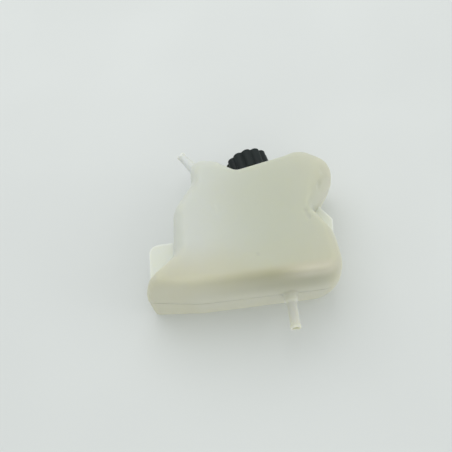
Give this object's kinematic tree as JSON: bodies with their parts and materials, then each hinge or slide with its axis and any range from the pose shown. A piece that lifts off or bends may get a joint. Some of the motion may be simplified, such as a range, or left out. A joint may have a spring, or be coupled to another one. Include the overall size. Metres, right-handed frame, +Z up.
{
  "type": "coolant expansion tank",
  "caption": "Blow-moulded translucent coolant expansion tank with a lobed black screw cap, vent nipple, outlet spout and side webs.",
  "frame": {"origin": "centre of the hose bead on the outlet spout, on the spout's axis and in the mould's parting plane", "axes": "+Z up along the spout's axis as the tank is installed, +X to the right along the tank, +Y to the back; the parting plane is Y = 0"},
  "size_m": [0.2446, 0.1022, 0.263],
  "materials": {
    "tank_plastic": "milky translucent polyethylene, satin",
    "cap_plastic": "black moulded plastic, satin",
    "insert_plastic": "dark grey moulded plastic, satin",
    "seal_rubber": "matt black rubber",
    "spring_steel": "bright spring wire",
    "valve_brass": "turned brass"
  },
  "bodies": {
    "tank": {"tank_body": "tank_plastic"},
    "insert": {"valve_insert": "insert_plastic", "insert_o_ring": "seal_rubber", "rim_gasket": "seal_rubber", "spring_stop": "insert_plastic", "relief_spring": "spring_steel"},
    "cap": {"cap_shell": "cap_plastic"},
    "relief_valve": {"relief_plate": "valve_brass", "relief_seal": "seal_rubber", "vacuum_spring": "spring_steel"},
    "vacuum_valve": {"vacuum_valve": "valve_brass", "stem_clip": "spring_steel"}
  },
  "joints": [
    {"name": "cap_lift", "type": "slide", "parent": "tank", "child": "insert", "axis": [-0.1822, 0, 0.9833], "range_m": [0, 0.008]},
    {"name": "cap_turn", "type": "hinge", "parent": "insert", "child": "cap", "pos_m": [-0.0236, 0, 0.21016], "axis": [-0.1822, 0, 0.9833], "range_deg": [0, 720]},
    {"name": "relief_open", "type": "slide", "parent": "insert", "child": "relief_valve", "axis": [-0.1822, 0, 0.9833], "range_m": [0, 0.0025], "stiffness_N_per_m": 4000, "springref_m": -0.006, "deforming": ["relief_spring"]},
    {"name": "vacuum_open", "type": "slide", "parent": "relief_valve", "child": "vacuum_valve", "axis": [0.1822, 0, -0.9833], "range_m": [0, 0.0015], "stiffness_N_per_m": 80, "springref_m": -0.003, "deforming": ["vacuum_spring"]}
  ],
  "couplings": [
    {"joint": "cap_lift", "follows": "cap_turn", "m_per_rad": 0.00063662}
  ]
}
